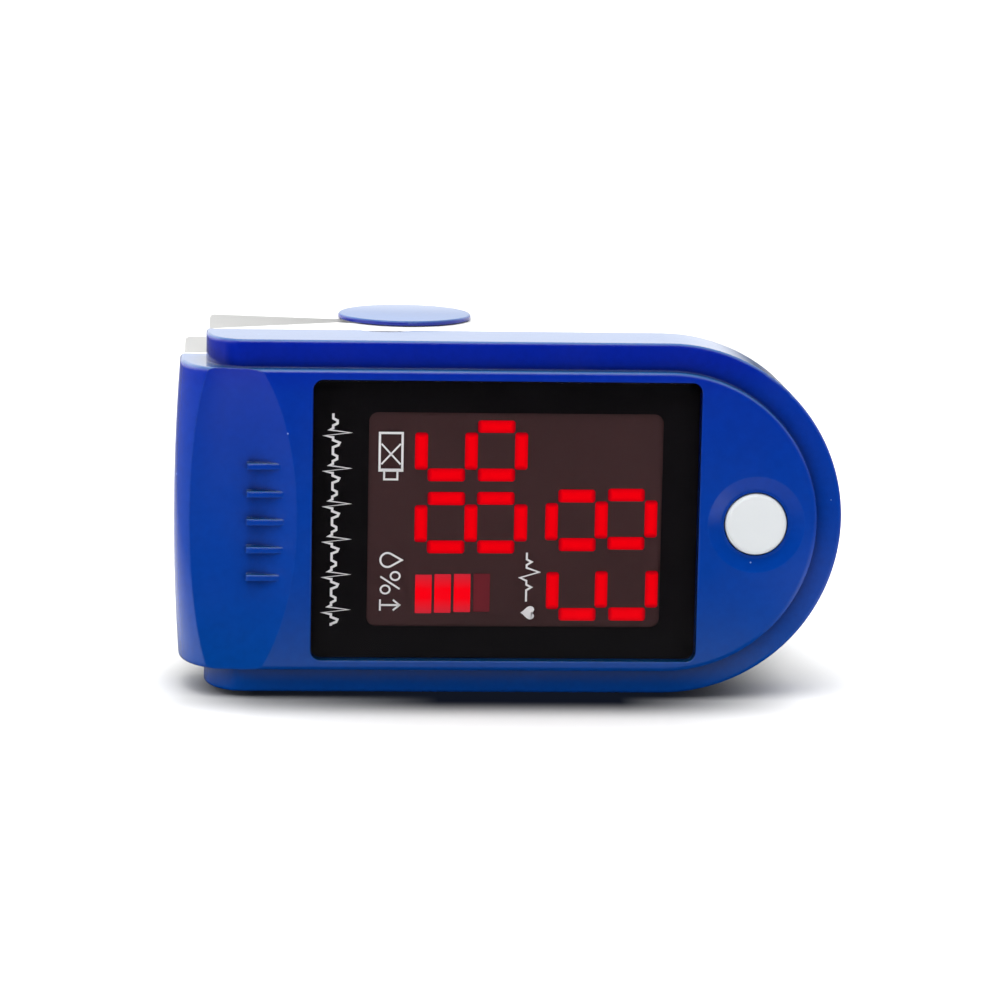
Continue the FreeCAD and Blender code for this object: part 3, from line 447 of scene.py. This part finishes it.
def rounded(x0, x1, z0, z1, r, seg=5):
    pts = []
    for cx, cz, a0 in ((x1 - r, z1 - r, 0), (x0 + r, z1 - r, 90), (x0 + r, z0 + r, 180), (x1 - r, z0 + r, 270)):
        for i in range(seg + 1):
            a = math.radians(a0 + 90.0 * i / seg)
            pts.append((cx + r * math.cos(a), cz + r * math.sin(a)))
    return pts


# ------------------------------------------------------------------ lit figures, on the module's face
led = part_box("display_module")
Y_LED = led[0].y / MM
Z0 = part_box("top_cover")[0].z / MM      # height of the case's edge above the rest surface

SEGMENTS = [
    (-8.32, -7.14, 19.65, 22.99), (-7.20, -3.87, 18.65, 19.84), (-3.97, -2.80, 19.68, 23.02),
    (-2.82, 0.49, 18.68, 19.87), (-2.88, 0.45, 22.95, 24.10), (0.38, 1.56, 19.71, 23.06),
    (-8.26, -7.10, 13.26, 16.60), (-7.16, -3.82, 12.28, 13.48), (-7.16, -3.83, 16.55, 17.77), (-3.92, -2.74, 13.31, 16.68),
    (-2.77, 0.55, 12.31, 13.51), (-2.85, 0.49, 16.61, 17.80), (0.42, 1.63, 13.37, 16.73),
    (3.15, 4.31, 13.49, 16.86), (4.24, 7.55, 16.86, 18.07), (4.36, 7.67, 12.55, 13.77), (7.49, 8.67, 13.68, 17.03),
    (8.63, 11.95, 12.71, 13.89), (8.59, 11.88, 17.00, 18.17), (11.85, 13.01, 13.80, 17.15),
    (3.35, 4.51, 7.37, 10.74), (4.47, 7.81, 6.36, 7.54), (7.63, 8.79, 7.51, 10.85), (8.85, 12.17, 6.38, 7.61), (12.05, 13.22, 7.55, 10.90)]


def smooth(t):
    t = max(0.0, min(1.0, t))
    return t * t * (3 - 2 * t)


def tile(bm, layer, x0, x1, z0, z1, r, end, lift, floor_glow):
    """A rounded lit plate whose glow fades at its two short ends."""
    along_x = (x1 - x0) > (z1 - z0)

    def glow(x, z):
        d = min(x - x0, x1 - x) if along_x else min(z - z0, z1 - z)
        w = min(z - z0, z1 - z) if along_x else min(x - x0, x1 - x)
        return floor_glow + (1 - floor_glow) * smooth((d + 0.02) / end) * (0.72 + 0.28 * smooth((w + 0.03) / 0.22))

    rings = []
    for ins, dy in ((0.0, 0.002), (0.0, -0.75 * lift), (0.05, -lift), (0.2, -lift), (0.42, -lift)):
        rr = max(0.03, r - ins * 0.6)
        pts = rounded(x0 + ins, x1 - ins, z0 + ins, z1 - ins, rr, 4)
        ring = []
        for x, z in pts:
            v = bm.verts.new((x * MM, (Y_LED + dy) * MM, (z + Z0) * MM))
            v[layer] = glow(x, z)
            ring.append(v)
        rings.append(ring)
    n = len(rings[0])
    for a, b in zip(rings, rings[1:]):
        for k in range(n):
            m = (k + 1) % n
            bm.faces.new((a[k], a[m], b[m], b[k]))
    # close the front and the back of the plate with one face each
    last = rings[-1]
    bm.faces.new(last)
    bm.faces.new(list(reversed(rings[0])))


def plates(name, rows, r, end, lift, mat, node, floor_glow=0.0):
    bm = bmesh.new()
    layer = bm.verts.layers.float.new("glow")
    for q in rows:
        tile(bm, layer, *q, r, end, lift, floor_glow)
    bmesh.ops.recalc_face_normals(bm, faces=list(bm.faces))
    ob = mesh_object(name, bm, mat, "display_half")
    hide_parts(node)
    return ob


plates("readout_figures", [(a + 0.03, b - 0.03, c + 0.03, d - 0.03) for a, b, c, d in SEGMENTS], 0.26, 0.5, 0.045, mats["led_red"], "lit_digits")
plates("readout_bars", [(-8.09, -6.65, 6.98, 10.40), (-6.41, -4.97, 7.03, 10.46), (-4.71, -3.26, 7.10, 10.49)], 0.06, 1.3, 0.045, mats["led_bar"], "pulse_bars", 0.12)
plates("readout_bar_dim", [(-3.00, -1.55, 7.14, 10.52)], 0.06, 1.2, 0.045, mats["led_dim"], "pulse_bar_dim")

# ------------------------------------------------------------------ printed marks on the window's back
print_mat = plastic("grey_print", (0.78, 0.78, 0.79), rough=0.6, spec=0.1, vary=0.05, grain_amp=0.05)
border_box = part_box("window_border")
Y_PRINT = border_box[0].y / MM - 0.006


def ribbon(bm, pts, width, closed=False):
    """A flat printed stroke along pts (X, Z in mm)."""
    n = len(pts)
    left, right = [], []
    for i, (x, z) in enumerate(pts):
        if closed:
            a, b = pts[i - 1], pts[(i + 1) % n]
        else:
            a, b = pts[max(0, i - 1)], pts[min(n - 1, i + 1)]
        p, q = Vector((x - a[0], z - a[1])), Vector((b[0] - x, b[1] - z))
        if p.length < 1e-9:
            p = q
        if q.length < 1e-9:
            q = p
        p.normalize(), q.normalize()
        m = p + q
        m = m.normalized() if m.length > 1e-6 else Vector((-p.y, p.x))
        nrm = Vector((-m.y, m.x))
        k = 1.0 / max(0.5, abs(nrm.dot(Vector((-q.y, q.x)))))
        off = nrm * (width / 2.0) * k
        left.append(bm.verts.new(((x + off.x) * MM, Y_PRINT * MM, (z + off.y) * MM)))
        right.append(bm.verts.new(((x - off.x) * MM, Y_PRINT * MM, (z - off.y) * MM)))
    m = n if closed else n - 1
    for i in range(m):
        j = (i + 1) % n
        bm.faces.new((left[i], right[i], right[j], left[j]))


def mark(name, strokes):
    bm = bmesh.new()
    for pts, width, closed in strokes:
        ribbon(bm, [(x, z + Z0) for x, z in pts], width, closed)
    ret = bmesh.ops.extrude_face_region(bm, geom=list(bm.faces))
    vs = [v for v in ret["geom"] if isinstance(v, bmesh.types.BMVert)]
    bmesh.ops.translate(bm, vec=(0, 0.004 * MM, 0), verts=vs)
    bmesh.ops.recalc_face_normals(bm, faces=list(bm.faces))
    return mesh_object(name, bm, print_mat, "display_half")


def ring(cx, cz, rx, rz, n=28, a0=0.0, a1=360.0):
    return [(cx + rx * math.cos(math.radians(a0 + (a1 - a0) * i / n)), cz + rz * math.sin(math.radians(a0 + (a1 - a0) * i / n))) for i in range(n if a1 - a0 >= 360 else n + 1)]


# cell mark: outline with a cross between two bars, and its small terminal
bx0, bx1, bz0, bz1 = -11.36, -9.39, 19.62, 22.92
mark("mark_cell", [
    ([(bx0, bz0), (bx1, bz0), (bx1, bz1), (bx0, bz1)], 0.20, True),
    ([(bx0 + 0.15, bz0 + 0.55), (bx1 - 0.15, bz1 - 0.95)], 0.15, False),
    ([(bx0 + 0.15, bz1 - 0.95), (bx1 - 0.15, bz0 + 0.55)], 0.15, False),
    ([(bx0, bz0 + 0.12), (bx1, bz0 + 0.12)], 0.10, False),
    ([(-10.95, bz0), (-10.95, 18.84), (-9.80, 18.84), (-9.80, bz0)], 0.17, False),
])
# share-of-oxygen mark: drop, ring pair with a slash, small rising arrow
drop = [(-9.30, 11.72)] + [(-10.55 + 0.62 * math.cos(math.radians(a)), 11.72 + 0.62 * math.sin(math.radians(a))) for a in range(58, 303, 10)]
mark("mark_drop", [(drop, 0.17, True)])
mark("mark_share", [
    (ring(-9.86, 10.30, 0.40, 0.36), 0.16, True),
    (ring(-10.72, 9.10, 0.40, 0.36), 0.16, True),
    ([(-9.45, 9.15), (-11.15, 10.25)], 0.16, False),
])
mark("mark_level", [
    ([(-9.45, 7.72), (-11.15, 7.72)], 0.17, False),
    ([(-10.02, 8.18), (-9.45, 7.72), (-10.02, 7.26)], 0.16, False),
    ([(-11.15, 8.22), (-11.15, 7.22)], 0.16, False),
])
# heart mark
bmh = bmesh.new()
vs = []
for i in range(48):
    a = 2 * math.pi * i / 48
    hx = 13 * math.cos(a) - 5 * math.cos(2 * a) - 2 * math.cos(3 * a) - math.cos(4 * a)
    hz = 16 * math.sin(a) ** 3
    vs.append(bmh.verts.new(((1.84 + hx * 0.043) * MM, Y_PRINT * MM, (7.10 + hz * 0.037 + Z0) * MM)))
bmh.faces.new(vs)
bmesh.ops.triangulate(bmh, faces=list(bmh.faces))
bmesh.ops.recalc_face_normals(bmh, faces=list(bmh.faces))
mesh_object("mark_heart", bmh, print_mat, "display_half")
mark("mark_beat", [([(1.62, 12.45), (1.62, 11.85), (2.05, 11.62), (1.62, 11.35), (1.62, 11.1), (2.72, 10.72), (1.05, 10.22), (1.62, 9.95),
                     (1.62, 9.6), (2.05, 9.37), (1.62, 9.1), (1.62, 8.1)], 0.17, False)])
# pulse trace along the border
trace = []
z = 24.6
beats = 6
pitch = (24.6 - 5.85) / beats
for k in range(beats):
    zb = 24.6 - k * pitch
    for f, x in ((0.0, -15.42), (0.14, -15.42), (0.20, -15.05), (0.28, -15.05), (0.34, -15.42), (0.42, -15.42), (0.465, -15.72),
                 (0.54, -13.90), (0.625, -16.15), (0.67, -15.42), (0.75, -15.42), (0.82, -14.85), (0.89, -14.95), (0.95, -15.42)):
        trace.append((x, zb - f * pitch))
trace.append((-15.42, 5.85))
mark("mark_trace", [(trace, 0.21, False)])

# ------------------------------------------------------------------ stage
bm = bmesh.new()
bmesh.ops.create_grid(bm, x_segments=8, y_segments=8, size=3.0)
floor = mesh_object("studio_floor", bm, bpy.data.materials.new("floor_tmp"), None)
floor.location = (0, 1.0, -0.00002)
ft = Tree("pale_floor")
fp = ft.principled(Base_Color=(0.86, 0.865, 0.87, 1), Roughness=0.6)
fp.inputs["Specular IOR Level"].default_value = 0.2
# painted shadow on the floor: the colour goes near-black by ambient occlusion around the case, weaker towards both
# ends, and the floor's glow is dimmed there too
fao = ft.n("ShaderNodeAmbientOcclusion", samples=2)
ft.set(fao, Distance=0.024)
fgeo = ft.n("ShaderNodeNewGeometry")
fsep = ft.n("ShaderNodeSeparateXYZ")
ft.link(fgeo.outputs["Position"], fsep.inputs[0])
soft = ft.math("MULTIPLY", ft.math("SUBTRACT", 1.0, fao.outputs["AO"], True), 1.0, True)
soft = ft.math("MULTIPLY", soft, ft.ramp(fsep.outputs["X"], 0.034, 0.014, 0.10, 1.0))
dark = ft.math("MULTIPLY", soft, ft.ramp(fsep.outputs["X"], -0.032, -0.022, 0.10, 1.0), True)
fcol = ft.mix(ft.ramp(ft.noise(40.0), 0.3, 0.7), (0.86, 0.865, 0.87), (0.88, 0.882, 0.885))
ft.link(ft.mix(dark, fcol, (0.004, 0.006, 0.012)), fp.inputs["Base Color"])
fp.inputs["Emission Color"].default_value = (1, 1, 1, 1)
ft.link(ft.math("MULTIPLY", ft.math("SUBTRACT", 1.0, dark, True), 0.12), fp.inputs["Emission Strength"])
floor.data.materials.clear()
floor.data.materials.append(ft.mat)
floor.visible_glossy = False

# deep shadow under the case's front edge, weaker towards both ends
bm = bmesh.new()
bmesh.ops.create_grid(bm, x_segments=2, y_segments=2, size=0.04)
under = mesh_object("case_shadow", bm, bpy.data.materials.new("shadow_tmp"), None)
ut = Tree("case_shadow")
ugeo = ut.n("ShaderNodeNewGeometry")
usep = ut.n("ShaderNodeSeparateXYZ")
ut.link(ugeo.outputs["Position"], usep.inputs[0])
um = ut.n("ShaderNodeMapRange", interpolation_type="SMOOTHSTEP")
ut.link(usep.outputs["Y"], um.inputs["Value"])
ut.set(um, **{"From_Min": -0.0229, "From_Max": -0.0155})
deep = ut.math("MULTIPLY", um.outputs["Result"], ut.ramp(usep.outputs["Y"], 0.004, -0.004))
for lo, hi, a, b in ((-0.038, -0.028, 0.0, 1.0), (-0.031, -0.006, 0.22, 1.0), (0.026, 0.010, 0.03, 1.0)):
    deep = ut.math("MULTIPLY", deep, ut.ramp(usep.outputs["X"], lo, hi, a, b), True)
ue = ut.n("ShaderNodeEmission")
ue.inputs["Color"].default_value = (0.006, 0.008, 0.015, 1)
ux = ut.n("ShaderNodeMixShader")
ut.link(deep, ux.inputs[0])
ut.link(ut.n("ShaderNodeBsdfTransparent").outputs[0], ux.inputs[1])
ut.link(ue.outputs[0], ux.inputs[2])
ut.link(ux.outputs[0], ut.out.inputs["Surface"])
under.data.materials.clear()
under.data.materials.append(ut.mat)
under.visible_diffuse = False
under.visible_glossy = False
under.visible_shadow = False

# what the gloss sees of the bright table: near to the case and at its two ends
bm = bmesh.new()
bmesh.ops.create_grid(bm, x_segments=2, y_segments=2, size=0.5)
glow = mesh_object("table_glow", bm, bpy.data.materials.new("glow_tmp"), None)
glow.location = (0, 0, -0.00001)
gt = Tree("table_glow")
ge = gt.n("ShaderNodeEmission")
gt.link(ge.outputs[0], gt.out.inputs["Surface"])
gg = gt.n("ShaderNodeNewGeometry")
gs = gt.n("ShaderNodeSeparateXYZ")
gt.link(gg.outputs["Position"], gs.inputs[0])
fall = gt.ramp(gs.outputs["Y"], -0.080, -0.022)
front = gt.math("MULTIPLY", gt.ramp(gs.outputs["Y"], -0.020, -0.028), gt.math("MULTIPLY", gt.math("MULTIPLY", fall, fall), 0.55))
ax = gt.math("ABSOLUTE", gs.outputs["X"])
side = gt.math("MULTIPLY", gt.ramp(ax, 0.026, 0.040, 0.0, 1.0), gt.ramp(ax, 0.045, 0.085, 1.0, 0.25))
side = gt.math("MULTIPLY", side, gt.ramp(gs.outputs["Y"], -0.10, -0.03, 0.0, 1.0))
gt.link(gt.math("MAXIMUM", front, side), ge.inputs["Strength"])
glow.data.materials.clear()
glow.data.materials.append(gt.mat)
glow.visible_camera = False
glow.visible_diffuse = False
glow.visible_shadow = False
glow.visible_transmission = False

# pale backdrop all round, seen directly only
bm = bmesh.new()
bmesh.ops.create_uvsphere(bm, u_segments=48, v_segments=24, radius=2.4)
dome = mesh_object("backdrop", bm, bpy.data.materials.new("dome_tmp"), None, smooth=True)
dt = Tree("pale_backdrop")
de = dt.n("ShaderNodeEmission")
dt.link(dt.mix(dt.ramp(dt.noise(1.5), 0.3, 0.7), (0.985, 0.988, 0.992), (1.0, 1.0, 1.0)), de.inputs["Color"])
dt.link(de.outputs[0], dt.out.inputs["Surface"])
dome.data.materials.clear()
dome.data.materials.append(dt.mat)
dome.visible_diffuse = False
dome.visible_glossy = False
dome.visible_transmission = False
dome.visible_shadow = False

world = bpy.data.worlds.new("studio")
scene.world = world
world.use_nodes = True
wn = world.node_tree
wn.nodes.clear()
wo = wn.nodes.new("ShaderNodeOutputWorld")
bg = wn.nodes.new("ShaderNodeBackground")
tc = wn.nodes.new("ShaderNodeTexCoord")
sep = wn.nodes.new("ShaderNodeSeparateXYZ")
wn.links.new(tc.outputs["Generated"], sep.inputs[0])


def wmath(op, a, b, clamp=False):
    m = wn.nodes.new("ShaderNodeMath")
    m.operation = op
    m.use_clamp = clamp
    for i, v in enumerate((a, b)):
        if isinstance(v, (int, float)):
            m.inputs[i].default_value = v
        else:
            wn.links.new(v, m.inputs[i])
    return m.outputs[0]


def wrange(v, a, b, c, d):
    m = wn.nodes.new("ShaderNodeMapRange")
    m.interpolation_type = "SMOOTHSTEP"
    for i, k in enumerate((a, b, c, d)):
        m.inputs[i + 1].default_value = k
    wn.links.new(v, m.inputs[0])
    return m.outputs[0]


# bright sweep behind, dark room behind the camera below a high front light, a lighter left side
behind = wmath("MULTIPLY", wmath("MULTIPLY", wrange(sep.outputs["Z"], -0.06, 0.06, 0.02, 1.0), wrange(sep.outputs["Z"], 0.20, 0.45, 0.62, 1.0)),
               wrange(sep.outputs["Y"], -0.05, 0.70, 0.0, 2.3))
above = wrange(sep.outputs["Z"], 0.50, 0.85, 0.01, 2.1)
left = wmath("MULTIPLY", wrange(sep.outputs["X"], -0.50, -0.90, 0.0, 2.4), wrange(sep.outputs["Z"], 0.05, 0.45, 0.12, 1.0))
right = wmath("MULTIPLY", wrange(sep.outputs["X"], 0.60, 0.95, 0.0, 1.0), wrange(sep.outputs["Z"], 0.05, 0.45, 0.12, 1.0))
wn.links.new(wmath("ADD", wmath("MAXIMUM", behind, above), wmath("ADD", left, right)), bg.inputs["Strength"])
bg.inputs["Color"].default_value = (1.0, 1.0, 1.0, 1)
wn.links.new(bg.outputs[0], wo.inputs["Surface"])


def area(name, loc, target, size, power, color=(1, 1, 1)):
    l = bpy.data.lights.new(name, "AREA")
    l.shape = "RECTANGLE"
    l.size, l.size_y = size
    l.energy = power
    l.color = color
    o = bpy.data.objects.new(name, l)
    scene.collection.objects.link(o)
    o.location = loc
    d = Vector(target) - Vector(loc)
    o.rotation_euler = d.to_track_quat("-Z", "Y").to_euler()
    return o


area("key_top", (-0.08, -0.13, 0.44), (0, 0, 0.01), (0.30, 0.22), 0.75)

# ------------------------------------------------------------------ camera at the photograph's angle
cam = bpy.data.cameras.new("camera")
cam.sensor_width = 36.0
cam.lens = 151.426
cam.clip_start = 0.01
cam.clip_end = 20.0
co = bpy.data.objects.new("camera", cam)
scene.collection.objects.link(co)
rot = Matrix(((0.997397233891294, -0.007140375703786495, -0.07174798158000008),
              (-0.06943916930218229, 0.17282742026410414, -0.9825013407479286),
              (0.019415447268042046, 0.9849262397964953, 0.1718817691546093)))
co.matrix_world = Matrix.Translation((-0.02709597, -0.37349014, 0.08002485 + Z0 * MM)) @ rot.to_4x4()
scene.camera = co
